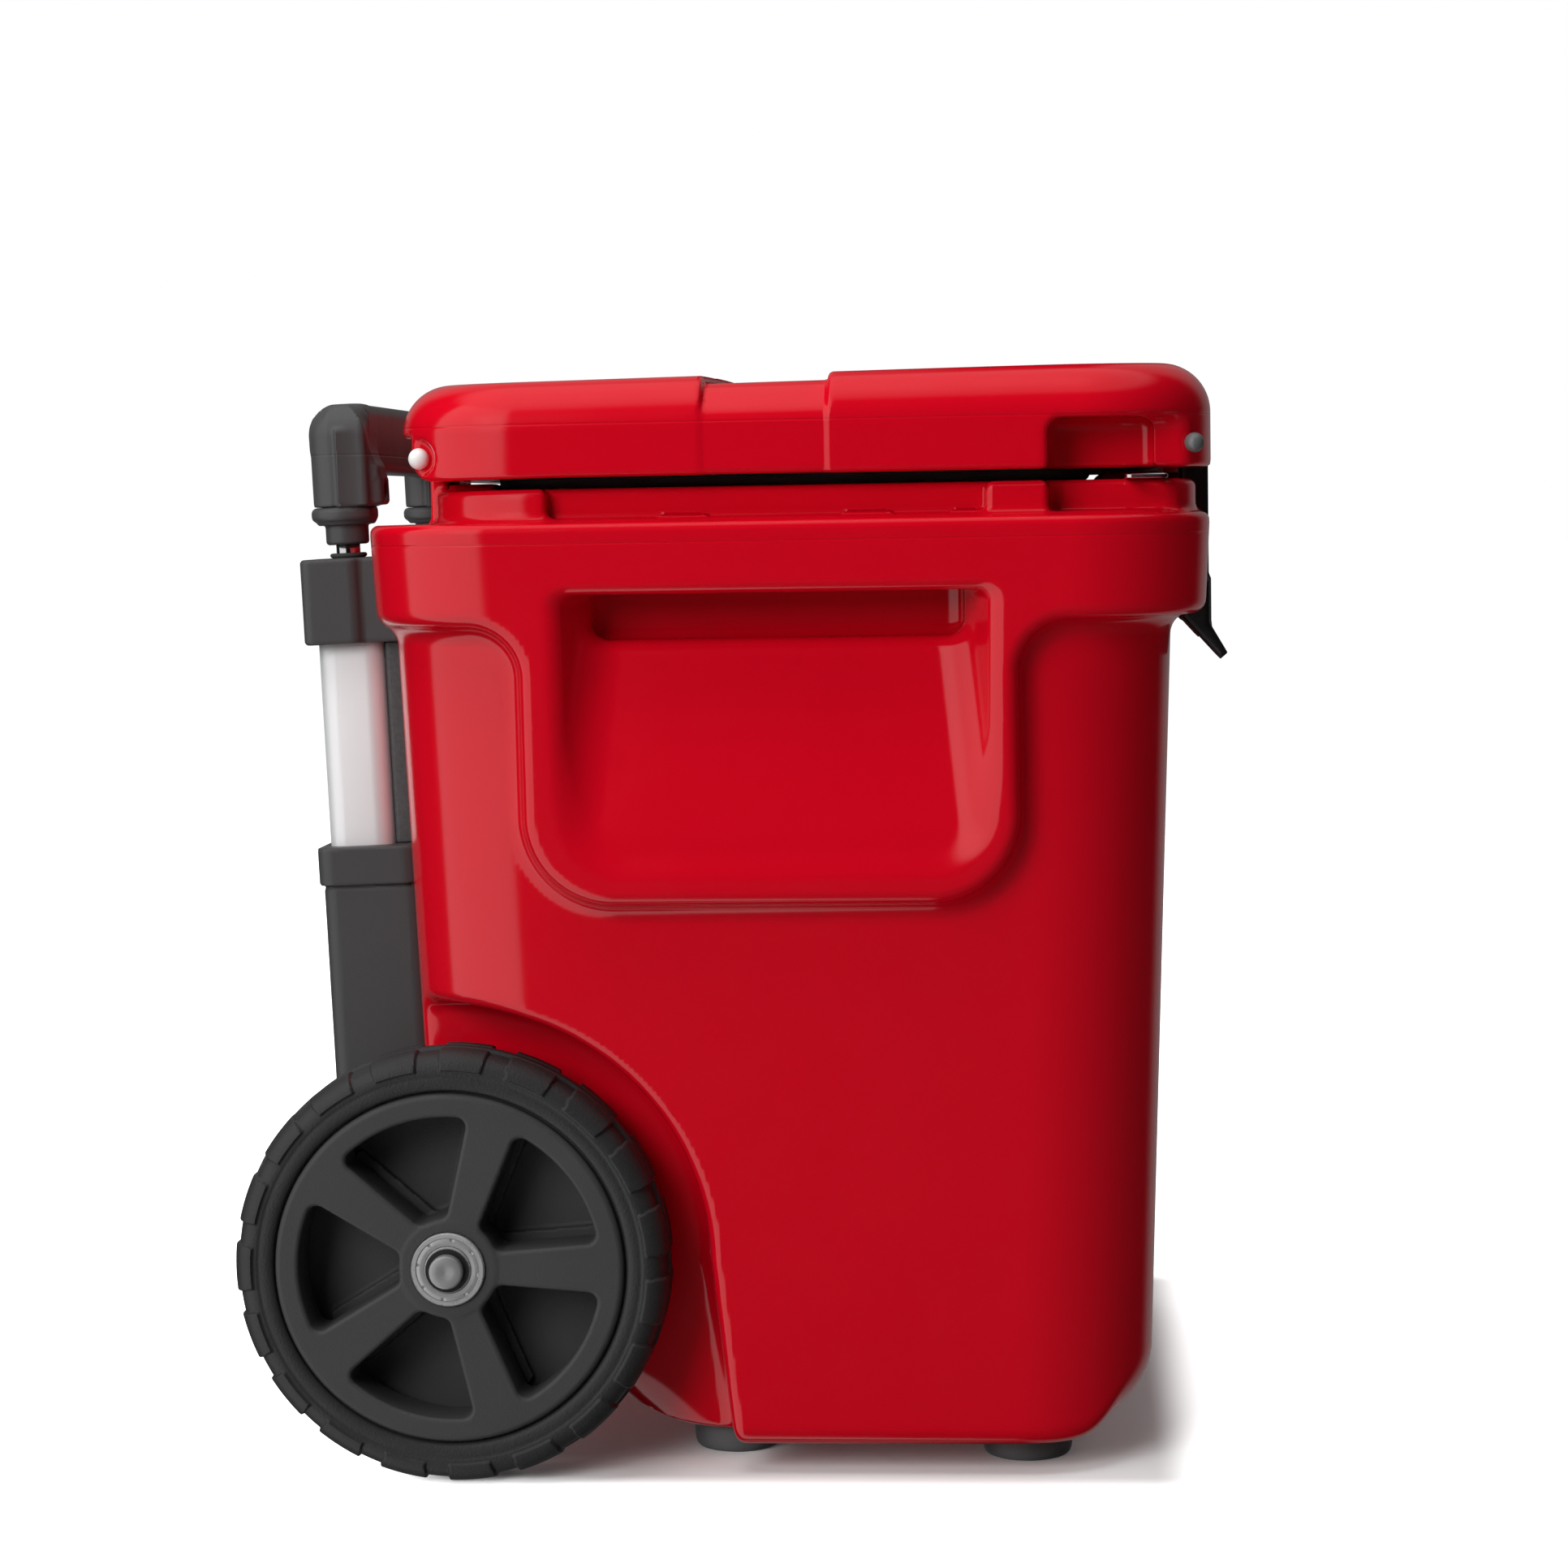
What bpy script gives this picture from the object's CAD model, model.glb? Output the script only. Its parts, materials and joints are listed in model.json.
"""Wheeled cooler chest: visible pieces, materials, floor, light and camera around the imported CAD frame."""

import json
import math

import bpy
import numpy as np
from mathutils import Matrix, Vector


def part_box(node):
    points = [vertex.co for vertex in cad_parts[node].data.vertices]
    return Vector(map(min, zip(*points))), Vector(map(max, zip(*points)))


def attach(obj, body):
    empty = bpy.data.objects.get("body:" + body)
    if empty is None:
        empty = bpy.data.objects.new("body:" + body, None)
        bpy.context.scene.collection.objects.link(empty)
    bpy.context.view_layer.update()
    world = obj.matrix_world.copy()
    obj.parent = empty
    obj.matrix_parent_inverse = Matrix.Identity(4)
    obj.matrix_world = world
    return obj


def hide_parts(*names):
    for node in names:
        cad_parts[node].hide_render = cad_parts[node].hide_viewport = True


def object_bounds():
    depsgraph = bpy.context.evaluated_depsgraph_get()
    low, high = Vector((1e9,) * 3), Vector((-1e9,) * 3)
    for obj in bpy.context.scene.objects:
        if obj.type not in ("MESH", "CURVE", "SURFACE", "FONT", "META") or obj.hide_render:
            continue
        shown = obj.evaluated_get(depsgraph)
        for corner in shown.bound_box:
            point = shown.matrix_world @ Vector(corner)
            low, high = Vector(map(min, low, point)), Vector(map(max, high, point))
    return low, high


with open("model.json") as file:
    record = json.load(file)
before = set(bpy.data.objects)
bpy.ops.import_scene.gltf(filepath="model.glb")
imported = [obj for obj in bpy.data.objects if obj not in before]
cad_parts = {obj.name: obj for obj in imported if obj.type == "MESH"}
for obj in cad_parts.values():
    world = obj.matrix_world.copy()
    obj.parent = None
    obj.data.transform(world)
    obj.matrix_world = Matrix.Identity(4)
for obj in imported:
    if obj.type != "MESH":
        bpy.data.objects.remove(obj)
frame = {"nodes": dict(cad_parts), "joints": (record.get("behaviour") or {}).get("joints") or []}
CAD_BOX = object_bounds()
NODES = frame["nodes"]
JOINTS = {j["name"]: j for j in frame["joints"]}
MM = 0.001

HINGE = [v * 1000 for v in JOINTS["lid_hinge"]["pos_m"]]
LATCH = [v * 1000 for v in JOINTS["latch_left_pivot"]["pos_m"]]
AXLE = [v * 1000 for v in JOINTS["wheel_left_spin"]["pos_m"]]
SLIDE = Vector(JOINTS["handle_lower_slide"]["axis"]).normalized()
DRAFT = math.atan2(SLIDE.y, SLIDE.z)
LEAN = math.tan(DRAFT)


def node_box(name):
    """A CAD node's box in millimetres, as two lists."""
    lo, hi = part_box(name)
    return [v * 1000 for v in lo], [v * 1000 for v in hi]


POST_X = -sum(b[0] for b in node_box("post_tube_left")) / 2
POST_Y = 163.4

# ------------------------------------------------------------------ distance fields


def r_union(a, b, r):
    """Union of two fields with a fillet of radius r."""
    return np.maximum(r, np.minimum(a, b)) - np.hypot(np.maximum(r - a, 0), np.maximum(r - b, 0))


def r_inter(a, b, r):
    """Intersection of two fields with a rounded edge of radius r."""
    return np.minimum(-r, np.maximum(a, b)) + np.hypot(np.maximum(r + a, 0), np.maximum(r + b, 0))


def r_cut(a, b, r):
    """a with b taken away, the edge rounded."""
    return r_inter(a, -b, r)


def box2(x, y, hx, hy, r):
    """Rounded rectangle of half sizes hx and hy."""
    qx = np.abs(x) - hx + r
    qy = np.abs(y) - hy + r
    return np.minimum(np.maximum(qx, qy), 0) + np.hypot(np.maximum(qx, 0), np.maximum(qy, 0)) - r


def pouch(y, z, mid, half, z0, r, top=560):
    """Outline with round lower corners and an open top."""
    return box2(y - mid, z - (z0 + top) / 2, half, (top - z0) / 2, r)


def step(t):
    """Smooth step from 0 to 1."""
    t = np.clip(t, 0, 1)
    return t * t * (3 - 2 * t)


def surface(f, lo, hi, h, half=False, block=8):
    """Points, quads and normals of the zero surface of f, from a grid of pitch h pulled onto the surface.
    With half, f is symmetric in x: only x <= 0 is meshed and the rest is its mirror image."""
    lo, hi = np.array(lo, float), np.array(hi, float)
    if half:
        m = int(math.ceil(-lo[0] / h - 0.5))
        lo[0] = -(m + 0.5) * h
        hi[0] = 2.5 * h
    nb = np.ceil((hi - lo) / (h * block)).astype(int)
    n = nb * block
    mid = [lo[i] + ((np.arange(nb[i]) + 0.5) * block - 0.5) * h for i in range(3)]
    coarse = f(*np.meshgrid(*mid, indexing="ij")).astype(np.float32)
    near = np.argwhere(np.abs(coarse) < block * h * 0.98)
    val = np.repeat(np.repeat(np.repeat(coarse, block, 0), block, 1), block, 2)
    cell = np.stack(np.meshgrid(*[np.arange(block)] * 3, indexing="ij"), -1).reshape(-1, 3)
    for s in range(0, len(near), 1500):
        ijk = (near[s:s + 1500, None, :] * block + cell[None]).reshape(-1, 3)
        p = (lo + ijk * h).T
        val[ijk[:, 0], ijk[:, 1], ijk[:, 2]] = f(p[0], p[1], p[2])
    inside = val < 0
    count = np.zeros(tuple(n - 1), np.uint8)
    for a in (0, 1):
        for b in (0, 1):
            for c in (0, 1):
                count += inside[a:n[0] - 1 + a, b:n[1] - 1 + b, c:n[2] - 1 + c]
    cells = np.argwhere((count > 0) & (count < 8))
    corner = np.array([[i >> 2 & 1, i >> 1 & 1, i & 1] for i in range(8)])
    v = np.stack([val[tuple((cells + k).T)] for k in corner], 1)
    total, hits = np.zeros((len(cells), 3)), np.zeros(len(cells))
    for a in range(8):
        for b in range(a + 1, 8):
            if bin(a ^ b).count("1") == 1:
                m2 = (v[:, a] < 0) != (v[:, b] < 0)
                t = v[m2, a] / (v[m2, a] - v[m2, b])
                total[m2] += corner[a] + t[:, None] * (corner[b] - corner[a])
                hits[m2] += 1
    pts = lo + (cells + total / hits[:, None]) * h
    ids = np.full(tuple(n - 1), -1, np.int64)
    ids[tuple(cells.T)] = np.arange(len(cells))
    if half:
        ids[m + 1:] = -1
    quads = []
    eye = np.eye(3, dtype=int)
    for ax in range(3):
        u, w = eye[(ax + 1) % 3], eye[(ax + 2) % 3]
        s0 = [slice(1, n[i] - 1) for i in range(3)]
        s1 = list(s0)
        s0[ax], s1[ax] = slice(0, n[ax] - 1), slice(1, n[ax])
        a0, a1 = inside[tuple(s0)], inside[tuple(s1)]
        base = np.array([s0[i].start for i in range(3)])
        for flip, where in ((False, a0 & ~a1), (True, ~a0 & a1)):
            g = np.argwhere(where) + base
            q = np.stack([ids[tuple(k.T)] for k in (g - u - w, g - w, g, g - u)], 1)
            quads.append(q[:, ::-1] if flip else q)
    quads = np.concatenate(quads)
    quads = quads[(quads >= 0).all(1)]
    used = np.unique(quads)
    remap = np.full(len(pts), -1, np.int64)
    remap[used] = np.arange(len(used))
    quads, pts = remap[quads], pts[used]
    central = (cells[used][:, 0] == m) if half else np.zeros(len(used), bool)
    eps = 0.02
    for k in range(4):
        x, y, z = pts.T
        d = f(x, y, z)
        g = np.stack([f(x + eps, y, z) - d, f(x, y + eps, z) - d, f(x, y, z + eps) - d], 1) / eps
        if k < 3:
            pts = pts - np.clip(d / np.maximum((g * g).sum(1), 0.2), -h, h)[:, None] * g
            pts[central, 0] = 0
    normals = g / np.maximum(np.linalg.norm(g, axis=1), 1e-9)[:, None]
    if half:
        other = np.where(central, np.arange(len(pts)), -1)
        new = np.flatnonzero(~central)
        other[new] = len(pts) + np.arange(len(new))
        flip = np.array([-1.0, 1, 1])
        normals[central, 0] = 0
        quads = np.concatenate([quads, other[quads][:, ::-1]])
        pts = np.concatenate([pts, pts[new] * flip])
        normals = np.concatenate([normals, normals[new] * flip])
    return pts, quads, normals


# ------------------------------------------------------------------ meshes and pieces


def mesh_of(name, pts, faces, normals=None, sharp=None):
    """A Blender mesh from points in millimetres. faces is an array of quads or a list of polygons."""
    me = bpy.data.meshes.new(name)
    if isinstance(faces, np.ndarray):
        me.vertices.add(len(pts))
        me.vertices.foreach_set("co", (np.asarray(pts) * MM).astype(np.float32).ravel())
        me.loops.add(faces.size)
        me.loops.foreach_set("vertex_index", faces.astype(np.int32).ravel())
        me.polygons.add(len(faces))
        me.polygons.foreach_set("loop_start", np.arange(0, faces.size, faces.shape[1], dtype=np.int32))
        me.update(calc_edges=True)
    else:
        me.from_pydata([tuple(float(c) * MM for c in p) for p in pts], [],
                       [tuple(int(i) for i in f) for f in faces])
    me.validate()
    me.polygons.foreach_set("use_smooth", np.ones(len(me.polygons), bool))
    if normals is not None:
        me.normals_split_custom_set_from_vertices(normals.astype(np.float32).tolist())
    elif sharp is not None:
        me.set_sharp_from_angle(angle=math.radians(sharp))
    me.update()
    return me


def piece(name, me, material, body, replaces=()):
    """An object that rides a body and stands in for the CAD nodes it replaces."""
    ob = bpy.data.objects.new(name, me)
    bpy.context.scene.collection.objects.link(ob)
    me.materials.clear()
    me.materials.append(material)
    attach(ob, body)
    if replaces:
        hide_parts(*replaces)
    return ob


def loft(rings, caps=True):
    """Points and faces of a surface through rings of equal point counts."""
    n = len(rings[0])
    pts = np.concatenate([np.asarray(r, float) for r in rings])
    faces = []
    for k in range(len(rings) - 1):
        for i in range(n):
            j = (i + 1) % n
            faces.append((k * n + i, k * n + j, (k + 1) * n + j, (k + 1) * n + i))
    if caps:
        faces.append(tuple(range(n))[::-1])
        faces.append(tuple(range((len(rings) - 1) * n, len(rings) * n)))
    return pts, faces


def lathe(profile, segments=96, closed=False):
    """Points and faces of (radius, height) pairs turned round Z; a radius of 0 closes to a point."""
    pts, rows = [], []
    for r, h in profile:
        if r < 1e-6:
            rows.append([len(pts)] * segments)
            pts.append((0, 0, h))
        else:
            rows.append(list(range(len(pts), len(pts) + segments)))
            for i in range(segments):
                a = 2 * math.pi * i / segments
                pts.append((r * math.cos(a), r * math.sin(a), h))
    faces = []
    pairs = list(zip(rows[:-1], rows[1:])) + ([(rows[-1], rows[0])] if closed else [])
    for a, b in pairs:
        for i in range(segments):
            j = (i + 1) % segments
            f = []
            for k in (a[i], a[j], b[j], b[i]):
                if k not in f:
                    f.append(k)
            if len(f) > 2:
                faces.append(tuple(f))
    return np.array(pts, float), faces


def join(parts):
    """Several (points, faces) as one."""
    pts, faces, n = [], [], 0
    for p, f in parts:
        pts.append(np.asarray(p, float))
        faces += [tuple(i + n for i in q) for q in f]
        n += len(p)
    return np.concatenate(pts), faces


def turn(part, matrix):
    """(points, faces) moved by a 4x4 in millimetres."""
    p, f = part
    m = np.array(matrix, float)
    q = np.asarray(p, float) @ m[:3, :3].T + m[:3, 3]
    if np.linalg.det(m[:3, :3]) < 0:
        f = [tuple(reversed(x)) for x in f] if not isinstance(f, np.ndarray) else f[:, ::-1]
    return q, f


def both(part):
    """A left part together with its mirror image."""
    return join([part, turn(part, MIRROR)])


MIRROR = Matrix.Diagonal((-1, 1, 1, 1))


def along_x(x, y, z, s=-1):
    """Matrix that lays a lathed part's Z along the side s, starting at x from the middle plane."""
    return Matrix(((0, 0, s, s * x), (1, 0, 0, y), (0, s, 0, z), (0, 0, 0, 1)))


SIDES = (("left", -1), ("right", 1))


def at_post(z=0.0, s=-1, y=0.0, x=0.0):
    """Matrix from one handle post's own frame to the row frame."""
    return (Matrix.Translation((s * POST_X, POST_Y, 0)) @ Matrix.Rotation(-DRAFT, 4, "X")
            @ Matrix.Translation((x, y, z)))


def mirror_mesh(pts, quads, normals):
    f = np.array([-1.0, 1, 1])
    return pts * f, quads[:, ::-1], normals * f


def pair_of(name, left, material, body):
    """A left piece from surface() and its mirror image; body holds {} where the side goes."""
    for side, mesh in (("left", left), ("right", mirror_mesh(*left))):
        piece(f"{name}_{side}_shaped", mesh_of(f"{name}_{side}", *mesh), material, body.format(side),
              (f"{name}_{side}",))


def arc(cx, cy, r, a0, a1, n):
    """Points of an arc in degrees."""
    return [(cx + r * math.cos(math.radians(a0 + (a1 - a0) * i / n)),
             cy + r * math.sin(math.radians(a0 + (a1 - a0) * i / n))) for i in range(n + 1)]


def rounded_ring(w, d, r, z, n=10, grow=0.0):
    """Ring of points round a rounded rectangle at height z."""
    w, d, r = w / 2 + grow, d / 2 + grow, max(r + grow, 0.01)
    pts = []
    for cx, cy, a in ((w - r, d - r, 0), (-w + r, d - r, 90), (-w + r, -d + r, 180), (w - r, -d + r, 270)):
        pts += [(x, y, z) for x, y in arc(cx, cy, r, a, a + 90, n)]
    return pts


# ------------------------------------------------------------------ materials


class Nodes:
    """Short helper to build a node tree."""

    def __init__(self, tree):
        self.tree = tree
        tree.nodes.clear()

    def add(self, kind, inputs=None, **props):
        node = self.tree.nodes.new(kind)
        for k, v in props.items():
            setattr(node, k, v)
        for k, v in (inputs or {}).items():
            self.put(node, k, v)
        return node

    def put(self, node, key, value):
        socket = node.inputs[key]
        if isinstance(value, bpy.types.NodeSocket):
            self.tree.links.new(value, socket)
        elif value is not None:
            socket.default_value = value

    def math(self, op, a, b=0.0, c=0.0):
        return self.add("ShaderNodeMath", {0: a, 1: b, 2: c}, operation=op).outputs[0]

    def ramp(self, value, a, b, to0=0.0, to1=1.0):
        """Smooth step of value from a..b onto to0..to1."""
        return self.add("ShaderNodeMapRange", {"Value": value, 1: a, 2: b, 3: to0, 4: to1},
                        interpolation_type="SMOOTHSTEP").outputs[0]

    def noise(self, coord, scale, detail=2.0, rough=0.5):
        return self.add("ShaderNodeTexNoise", {"Vector": coord, "Scale": scale, "Detail": detail,
                                               "Roughness": rough}).outputs["Fac"]

    def mix(self, fac, a, b):
        return self.add("ShaderNodeMix", {"Factor": fac, 6: a, 7: b}, data_type="RGBA").outputs[2]


def shade(color, k):
    """A colour made k times as bright."""
    return tuple(min(1.0, c * k) for c in color[:3]) + (1.0,)


def material(name, color, rough, metal=0.0, coat=0.0, coat_rough=0.03, vary=0.08, vary_scale=9.0,
             grain=0.0, grain_scale=900.0, wave=0.0, wave_scale=60.0, rough_vary=0.05, specular=0.5,
             seam_z=None, brush=None, sheen=0.0, wear=0.0):
    """A procedural material: colour drift, roughness drift, fine grain and slow ripple as bump, worn edges,
    a moulding line at a height, or brushed lines along an axis."""
    mat = bpy.data.materials.new(name)
    mat.use_nodes = True
    t = Nodes(mat.node_tree)
    coord = t.add("ShaderNodeTexCoord").outputs["Object"]
    cloud = t.noise(coord, vary_scale, 4.0, 0.55)
    base = t.mix(cloud, shade(color, 1 - vary), shade(color, 1 + vary))
    speck = t.noise(coord, grain_scale * 0.35, 3.0, 0.6)
    roughness = t.math("MULTIPLY_ADD", t.math("SUBTRACT", t.noise(coord, vary_scale * 4, 5.0, 0.6), 0.5),
                       rough_vary * 2, rough)
    if wear:
        edge = t.ramp(t.add("ShaderNodeNewGeometry").outputs["Pointiness"], 0.52, 0.60)
        worn = t.math("MULTIPLY", edge, t.ramp(speck, 0.35, 0.65))
        base = t.mix(t.math("MULTIPLY", worn, wear), base, shade(tuple(c + 0.03 for c in color), 1.6))
        roughness = t.math("MULTIPLY_ADD", worn, -0.12 * wear, roughness)
    bsdf = t.add("ShaderNodeBsdfPrincipled", {"Base Color": base, "Metallic": metal, "Coat Weight": coat,
                                              "Coat Roughness": coat_rough, "Specular IOR Level": specular,
                                              "Sheen Weight": sheen, "Roughness": roughness})
    normal = None
    if wave:
        normal = t.add("ShaderNodeBump", {"Strength": 1.0, "Distance": wave,
                                          "Height": t.noise(coord, wave_scale, 1.5, 0.4)}).outputs[0]
    if brush is not None:
        squeezed = t.add("ShaderNodeMapping", {"Vector": coord, "Scale": brush}).outputs[0]
        lines = t.noise(squeezed, 1.0, 4.0, 0.7)
        normal = t.add("ShaderNodeBump", {"Strength": 1.0, "Distance": 0.00002, "Height": lines,
                                          "Normal": normal}).outputs[0]
        t.put(bsdf, "Roughness", t.math("MULTIPLY_ADD", t.math("SUBTRACT", lines, 0.5), 0.25, roughness))
    if grain:
        fine = t.add("ShaderNodeTexVoronoi", {"Vector": coord, "Scale": grain_scale}).outputs["Distance"]
        height = t.math("MULTIPLY_ADD", speck, 0.8, fine)
        normal = t.add("ShaderNodeBump", {"Strength": 1.0, "Distance": grain, "Height": height,
                                          "Normal": normal}).outputs[0]
    if seam_z is not None:
        z = t.add("ShaderNodeSeparateXYZ", {"Vector": coord}).outputs["Z"]
        away = t.math("ABSOLUTE", t.math("SUBTRACT", z, seam_z))
        line = t.ramp(away, 0.0, 0.0007)
        normal = t.add("ShaderNodeBump", {"Strength": 0.6, "Distance": 0.0003, "Height": line,
                                          "Normal": normal}).outputs[0]
    if normal is not None:
        t.put(bsdf, "Normal", normal)
        if coat:
            t.put(bsdf, "Coat Normal", normal)
    out = t.add("ShaderNodeOutputMaterial")
    t.tree.links.new(bsdf.outputs[0], out.inputs["Surface"])
    return mat


RED = (0.62, 0.0014, 0.0120)
red_tub = material("red_gloss_tub", RED, 0.16, coat=0.25, vary=0.03, wave=0.00004, wave_scale=55,
                   rough_vary=0.03, specular=0.42, seam_z=0.4067)
red_lid = material("red_gloss_lid", RED, 0.16, coat=0.25, vary=0.03, wave=0.00004, wave_scale=55,
                   rough_vary=0.03, specular=0.42, seam_z=0.4572)
liner_white = material("liner_plastic", (0.80, 0.80, 0.785), 0.32, vary=0.025, wave=0.00005, wave_scale=70,
                       grain=0.00001, grain_scale=1400, rough_vary=0.05)
foot_rubber = material("foot_rubber", (0.105, 0.105, 0.108), 0.62, vary=0.15, grain=0.00006,
                       grain_scale=1300, rough_vary=0.1, wear=0.3)
plate_steel = material("plate_steel", (0.72, 0.72, 0.74), 0.22, metal=1.0, vary=0.05, brush=(900, 25, 900),
                       rough_vary=0.06)
pin_white = material("pin_nylon", (0.84, 0.84, 0.83), 0.34, vary=0.03, grain=0.00001, grain_scale=1800)
axle_steel = material("axle_steel", (0.34, 0.34, 0.345), 0.36, metal=0.5, vary=0.12, vary_scale=60,
                      brush=(40, 900, 900), rough_vary=0.1)
sleeve_plastic = material("sleeve_plastic", (0.05, 0.05, 0.052), 0.55, vary=0.1, grain=0.00003,
                          grain_scale=1100)
black_steel = material("black_oxide_steel", (0.035, 0.035, 0.037), 0.38, metal=0.6, vary=0.15,
                       rough_vary=0.1, grain=0.00001, grain_scale=1500)
wheel_plastic = material("wheel_plastic", (0.045, 0.045, 0.0455), 0.56, vary=0.12, vary_scale=25,
                         grain=0.00006, grain_scale=1250, rough_vary=0.06, wear=0.35, specular=0.45)
tyre_rubber = material("tyre_rubber", (0.024, 0.024, 0.0245), 0.52, vary=0.15, vary_scale=40, grain=0.00009,
                       grain_scale=1000, rough_vary=0.08, wear=0.45, specular=0.5)
bearing_steel = material("bearing_steel", (0.50, 0.50, 0.505), 0.30, metal=0.5, vary=0.06, vary_scale=50,
                         brush=(60, 700, 700), rough_vary=0.08)
shield_steel = material("shield_steel", (0.44, 0.44, 0.445), 0.36, metal=0.5, vary=0.08, vary_scale=60,
                        brush=(60, 700, 700), rough_vary=0.08)
tube_metal = material("satin_aluminium", (0.84, 0.84, 0.845), 0.48, metal=0.45, vary=0.02,
                      brush=(700, 700, 9), rough_vary=0.03)
rod_steel = material("polished_steel", (0.66, 0.66, 0.67), 0.16, metal=1.0, vary=0.03, brush=(700, 700, 12),
                     rough_vary=0.03)
post_plastic = material("post_plastic", (0.051, 0.051, 0.052), 0.44, vary=0.06, vary_scale=12,
                        grain=0.00003, grain_scale=1400, rough_vary=0.04, wear=0.25, specular=0.45)
grip_plastic = material("grip_plastic", (0.060, 0.060, 0.061), 0.42, vary=0.08, vary_scale=14,
                        grain=0.00003, grain_scale=1300, rough_vary=0.05, wear=0.25, specular=0.45,
                        seam_z=0.4475)
glide_plastic = material("glide_plastic", (0.72, 0.72, 0.70), 0.4, vary=0.03, grain=0.00001,
                         grain_scale=1500)
gasket_rubber = material("gasket_rubber", (0.17, 0.17, 0.172), 0.66, vary=0.08, grain=0.00003,
                         grain_scale=1300)
grey_pin = material("grey_pin", (0.17, 0.175, 0.18), 0.36, metal=0.35, vary=0.08, grain=0.00001,
                    grain_scale=1700, rough_vary=0.05)
latch_rubber = material("latch_rubber", (0.0125, 0.0125, 0.013), 0.48, vary=0.12, grain=0.00003,
                        grain_scale=1400, rough_vary=0.06, wear=0.2)

# ------------------------------------------------------------------ tub

COLLAR_Z0, COLLAR_Z1, RIM_Z = 372.0, 415.7, 430.0
HOLD_MID = -23.8


def lid_under(y):
    """Height of the lid's lower edge, a little lower towards the back."""
    return 434 - 1.5 * np.clip((y - 60) / 140, 0, 1)


def tub_field(x, y, z):
    ax = np.abs(x)
    zl = np.minimum(z, COLLAR_Z0)
    hx, hy = 191.6 + LEAN * zl, 157.65 + LEAN * zl
    qx, qy = ax - hx + 58, np.abs(y + 22.05) - hy + 58
    plan = np.minimum(np.maximum(qx, qy), 0) + np.hypot(np.maximum(qx, 0), np.maximum(qy, 0)) - 58
    radius = 9 + 26 * (0.5 + 0.5 * np.tanh((qy - qx) / 18))
    body = r_inter(plan, 12.5 - z, radius)
    body = np.maximum(body, z - 400)
    # Collar with the hand holds' surrounds hanging from it
    flare = np.maximum(0, COLLAR_Z1 - z)
    outer = box2(ax, y + 26.2, 220 - LEAN * flare, 182.8 - 0.05 * np.minimum(flare, 44), 60)
    drop = r_union(COLLAR_Z0 - z, pouch(y, z, -20.9, 105.7, 252.5, 38), 22)
    collar = r_inter(r_inter(outer, drop, 6), z - COLLAR_Z1, 4)
    d = r_union(body, collar, 9)
    # Rim with its side slots, corner notches and drain bumps
    rim = np.maximum(r_inter(box2(ax, y + 38, 208, 165, 48), z - RIM_Z, 3.5), 400 - z)
    slot = np.maximum(199 - ax, box2(y + 20.5, z - 450, 93, 34, 5))
    rim = r_cut(rim, slot, 3)
    notch = r_inter(190 - ax, y + 140, 7)
    rim = r_cut(rim, np.maximum(notch, COLLAR_Z1 + 0.2 - z), 3)
    for yc in (14.9, -63.4, -109):
        bump = np.maximum(ax - 205.5, np.abs(y - yc) - 12 + (z - 416) * 1.2)
        bump = np.maximum(bump, np.abs(z - 415) - 3.3)
        rim = np.minimum(rim, bump)
    # Lands that close the gap under the lid in front of the seal and between the hinges
    land = np.minimum(box2(ax, y + 175, 150, 13, 4), box2(ax, y - 114, 121, 9, 4))
    land = np.minimum(land, box2(ax - 171, y - 109, 9, 10, 3))
    land = r_inter(land, z - lid_under(y) + 0.7, 1)
    rim = r_union(rim, np.maximum(land, 420 - z), 1.5)
    d = r_union(d, rim, 4)
    # Hand hold: sloping scoop and the finger pocket above it
    opening = pouch(y, z, HOLD_MID, 92, 260.4, 28) + (218 - ax) * 0.5
    face = 190 + 26 * (385 - z) / 124.6
    scoop = r_inter(r_inter(opening * 0.9, (face - ax) * 0.98, 12), z - 385, 5)
    pocket = r_inter(box2(ax - 192, z - 383.5, 15, 18.5, 6), np.abs(y - HOLD_MID) - 80, 8)
    d = r_cut(d, r_union(scoop, pocket, 6), 5)
    # Wheel well
    arch = np.hypot(y - AXLE[1], z - AXLE[2]) - 112.5
    low = np.maximum((10 - (95 - z) * 0.105 - y) * 0.995, z - 95)
    well = np.minimum(arch, low)
    well = np.minimum(well, np.maximum(AXLE[1] - y, z - 200.5) * 0.99)
    d = r_cut(d, r_inter(well, 162 - ax, 9), 5)
    # Raised tail under the back
    tail = r_inter((41.5 - y + (z - 12.5) * 1.14) * 0.66, z - 38, 10)
    d = r_cut(d, tail, 22)
    # Latch channels
    d = r_cut(d, r_inter(np.abs(ax + LATCH[0]) - 25, y + 195.5, 5), 4)
    # Hinge knuckles
    kn = np.hypot(y - HINGE[1], z - HINGE[2]) - 7
    kn = np.minimum(kn, np.maximum(np.abs(y - HINGE[1] + 3) - 4, np.maximum(z - HINGE[2], 400 - z)))
    kn = r_inter(kn, np.abs(ax - 142) - 16, 1.5)
    return r_union(d, kn, 3)


def prism(w, y0, y1, r, z0, z1):
    """Upright block on a rounded rectangle, as a mesh for a cut."""
    ring = np.array(rounded_ring(w, y1 - y0, r, 0, 16)) + (0, (y0 + y1) / 2, 0)
    return loft([ring + (0, 0, z0), ring + (0, 0, z1)])


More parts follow.
